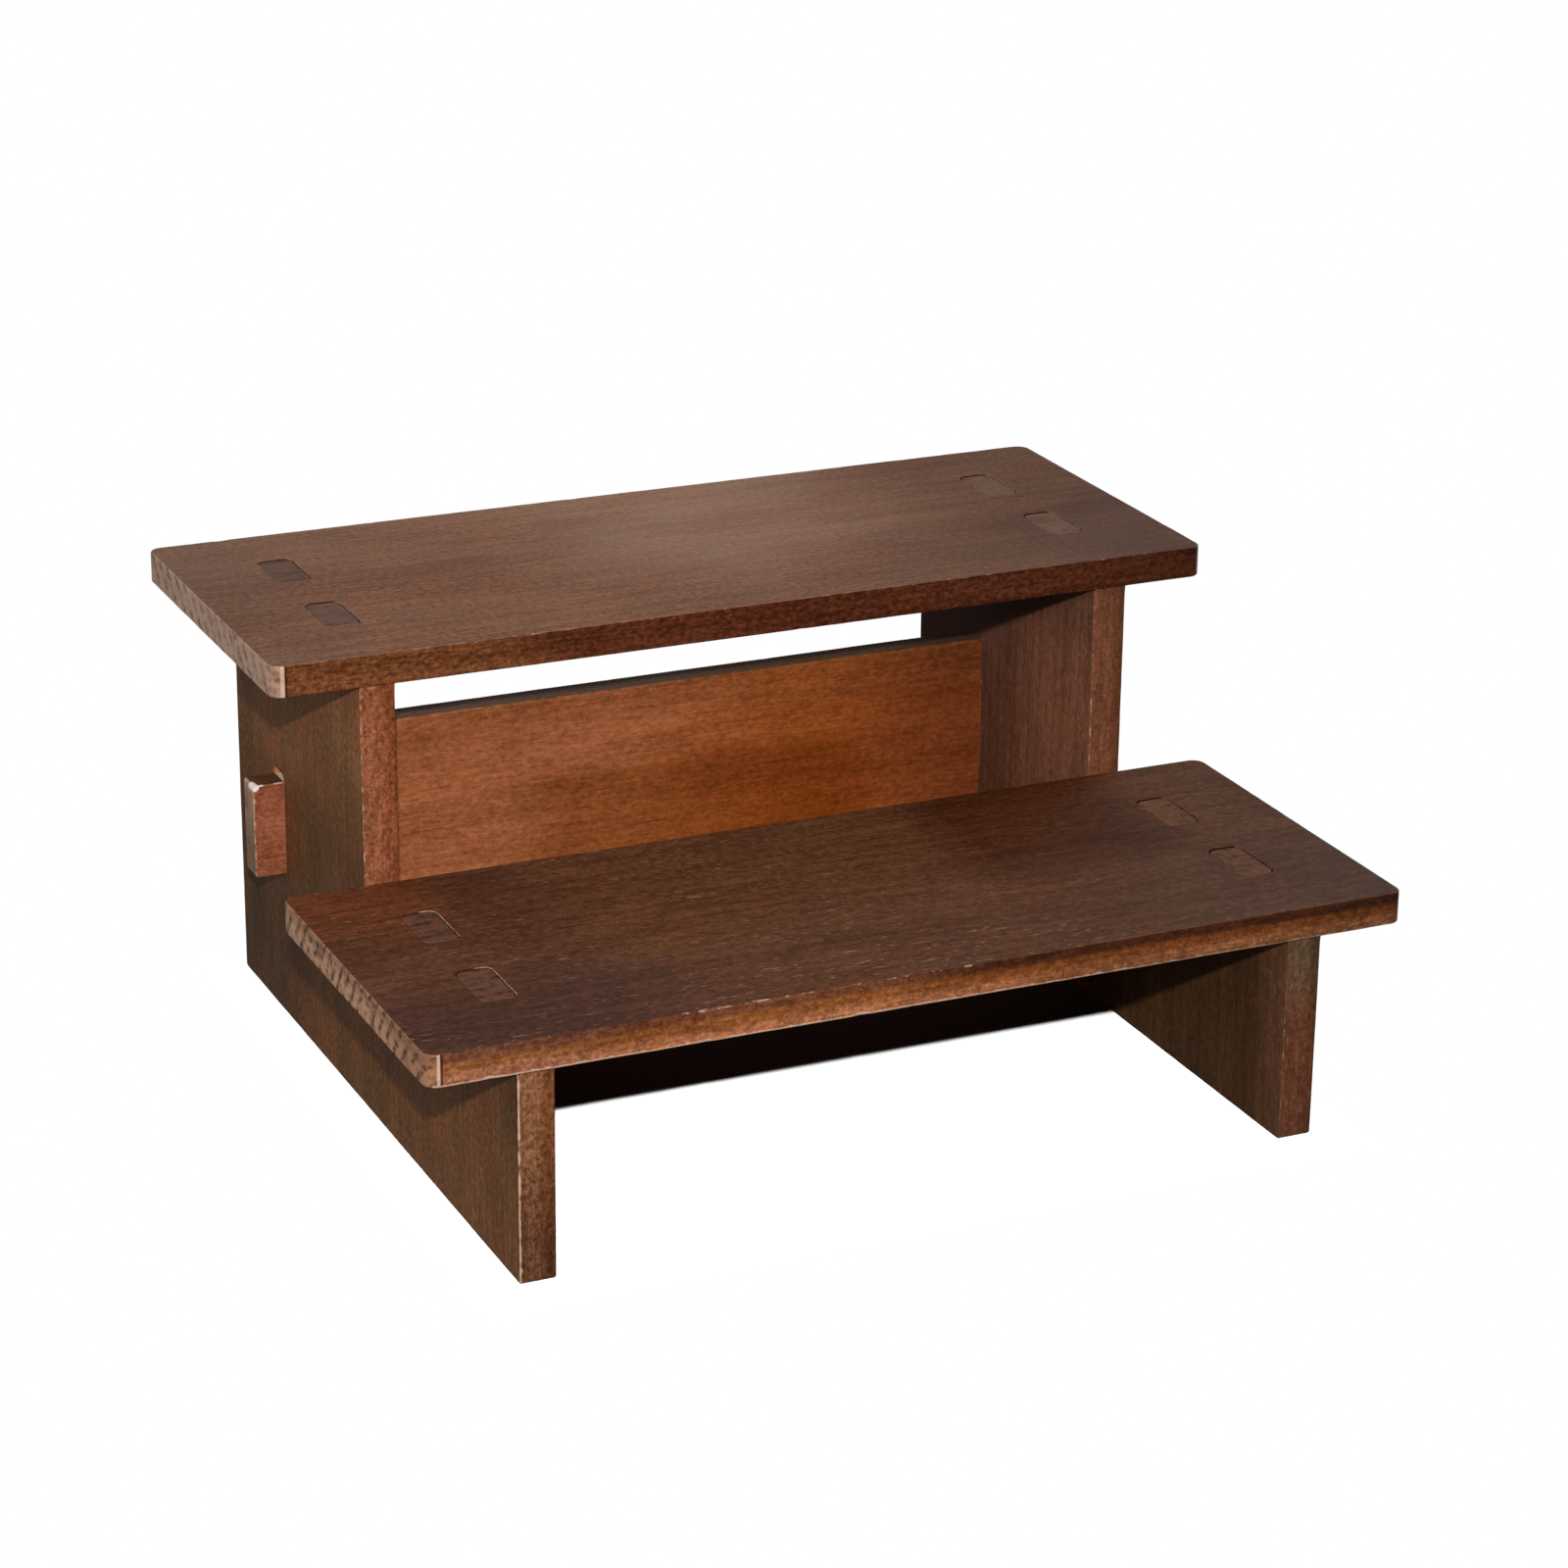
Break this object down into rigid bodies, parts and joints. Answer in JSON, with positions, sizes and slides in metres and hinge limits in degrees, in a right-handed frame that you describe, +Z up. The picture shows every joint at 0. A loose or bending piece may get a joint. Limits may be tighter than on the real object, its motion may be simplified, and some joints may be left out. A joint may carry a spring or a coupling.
{
  "type": "tiered display stand",
  "caption": "Low stepped display stand of dark stained solid wood: two treads on stepped side boards, tied by a back rail with through tenons.",
  "frame": {"origin": "on the floor, under the middle of the stand's length and depth", "axes": "+X along the treads, +Y from the low front tread to the back, +Z up"},
  "size_m": [0.45, 0.3684, 0.2125],
  "materials": {
    "tread_wood": "dark reddish-brown stain, satin",
    "side_wood": "dark brown stain, satin, upright grain",
    "rail_wood": "orange-brown stain, satin"
  },
  "bodies": {
    "root": {"upper_tread": "tread_wood", "lower_tread": "tread_wood", "left_side": "side_wood", "right_side": "side_wood", "back_rail": "rail_wood"}
  },
  "joints": []
}
